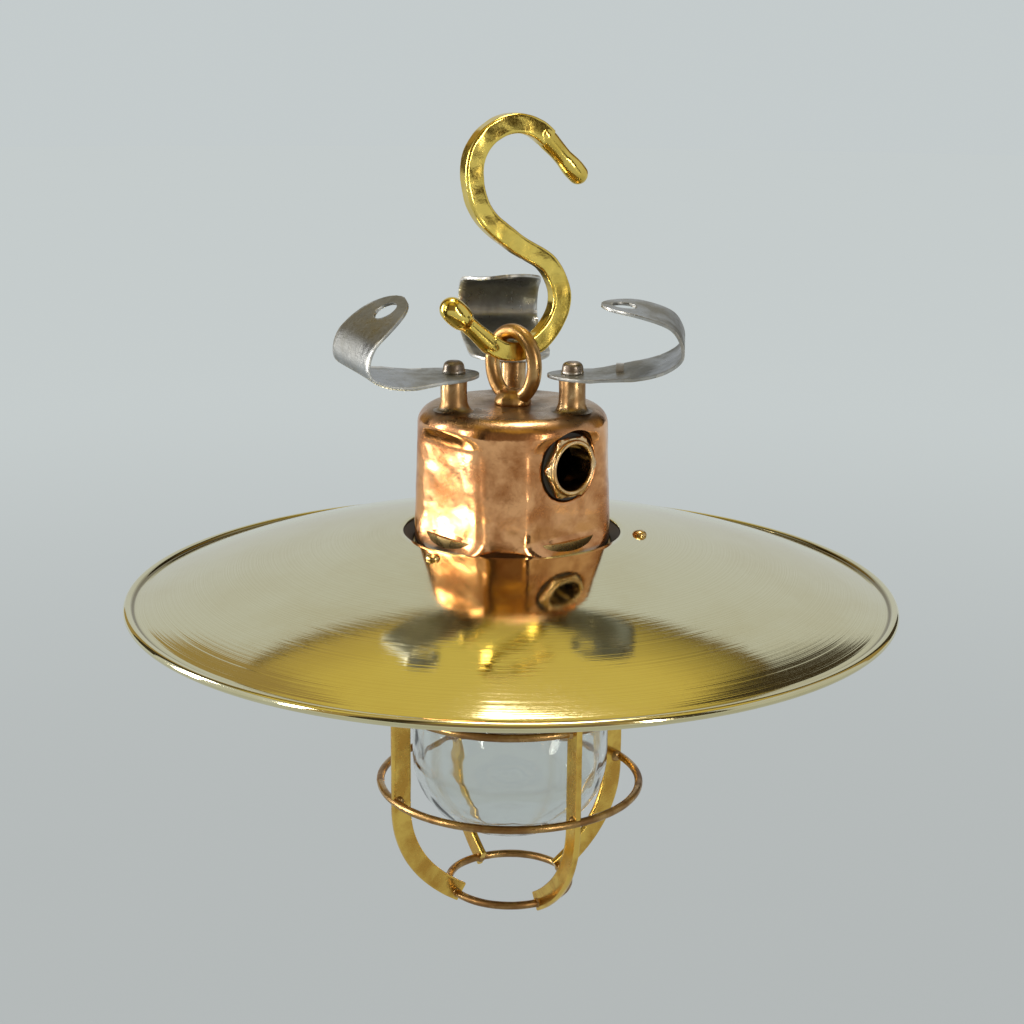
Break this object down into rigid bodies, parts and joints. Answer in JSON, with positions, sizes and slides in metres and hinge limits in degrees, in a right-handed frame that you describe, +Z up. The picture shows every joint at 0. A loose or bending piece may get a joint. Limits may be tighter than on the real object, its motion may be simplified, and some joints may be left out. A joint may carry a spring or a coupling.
{
  "type": "ship lantern",
  "caption": "Hanging deck lantern: S-hook, cast copper housing with a side cable gland, wide spun brass shade, glass globe in a screw-on bar guard, and bent strap feet.",
  "frame": {"origin": "centre of the S-hook's upper loop, the point the lantern hangs from", "axes": "+Z up along the lantern's axis; -Y towards the front; the cable gland is at the front right, 41 degrees from -Y towards +X"},
  "size_m": [0.38, 0.38, 0.3958],
  "materials": {
    "hook_brass": "polished, hammered flat, with dark hollows",
    "bronze": "cast, worn smooth, brown in the hollows",
    "fitting_brass": "machined, slightly dulled",
    "copper": "cast and polished, mottled, brown around the roof",
    "gland_brass": "turned and worn, round edges",
    "post_copper": "cast, brown, solder at the foot",
    "rivet_steel": "dark oxidised with bright wear",
    "weathered_steel": "grey weathered sheet, stained and pitted",
    "shade_brass": "spun and polished, fine turning lines",
    "plated_steel": "zinc plated",
    "screw_brass": "round head, worn",
    "contact_brass": "bright pressed brass",
    "rubber": "matt black",
    "porcelain": "white glaze",
    "clear_glass": "clear pressed glass, slightly wavy",
    "guard_brass": "polished bar, brown near the joints",
    "ring_bronze": "brown drawn wire, dark solder at the joints"
  },
  "bodies": {
    "hook": {"s_hook": "hook_brass"},
    "lantern": {"eye_bolt": "bronze", "eye_washer": "fitting_brass", "eye_nut": "fitting_brass", "housing": "copper", "gland_body": "gland_brass", "gland_washer": "rubber", "gland_locknut": "fitting_brass", "post_left": "post_copper", "post_right": "post_copper", "post_back": "post_copper", "rivet_left": "rivet_steel", "rivet_right": "rivet_steel", "rivet_back": "rivet_steel", "shade": "shade_brass", "shade_rim_wire": "plated_steel", "shade_screws": "screw_brass", "shade_gasket": "rubber", "base_flange": "fitting_brass", "holder_bridge": "plated_steel", "holder_screws": "plated_steel", "lampholder_body": "porcelain", "lampholder_shell": "contact_brass", "centre_contact": "contact_brass", "terminal_screws": "contact_brass", "earth_screw": "contact_brass", "glass_seal": "rubber"},
    "foot_left": {"foot_left": "weathered_steel"},
    "foot_right": {"foot_right": "weathered_steel", "strap_stub": "rivet_steel"},
    "foot_back": {"foot_back": "weathered_steel"},
    "globe": {"glass_globe": "clear_glass"},
    "guard": {"guard_collar": "guard_brass", "guard_bar_1": "guard_brass", "guard_bar_2": "guard_brass", "guard_bar_3": "guard_brass", "guard_bar_4": "guard_brass", "guard_ring_top": "ring_bronze", "guard_ring_middle": "ring_bronze", "guard_ring_bottom": "ring_bronze"}
  },
  "joints": [
    {"name": "lantern_swing", "type": "hinge", "parent": "hook", "child": "lantern", "pos_m": [0, 0, -0.0639], "axis": [0.4226, -0.9063, 0], "range_deg": [-30, 30]},
    {"name": "foot_left_swivel", "type": "hinge", "parent": "lantern", "child": "foot_left", "pos_m": [-0.02823, -0.0163, -0.09455], "axis": [0, 0, 1], "range_deg": [-60, 60]},
    {"name": "foot_right_swivel", "type": "hinge", "parent": "lantern", "child": "foot_right", "pos_m": [0.02823, -0.0163, -0.09455], "axis": [0, 0, 1], "range_deg": [-80, 35]},
    {"name": "foot_back_swivel", "type": "hinge", "parent": "lantern", "child": "foot_back", "pos_m": [0, 0.0326, -0.09455], "axis": [0, 0, 1], "range_deg": [-65, 50]},
    {"name": "glass_drop", "type": "slide", "parent": "lantern", "child": "globe", "axis": [0, 0, -1], "range_m": [0, 0.0121]},
    {"name": "guard_turn", "type": "hinge", "parent": "globe", "child": "guard", "pos_m": [0, 0, -0.2568], "axis": [0, 0, -1], "range_deg": [0, 1440]}
  ],
  "couplings": [
    {"joint": "glass_drop", "follows": "guard_turn", "m_per_rad": 0.00047746}
  ]
}
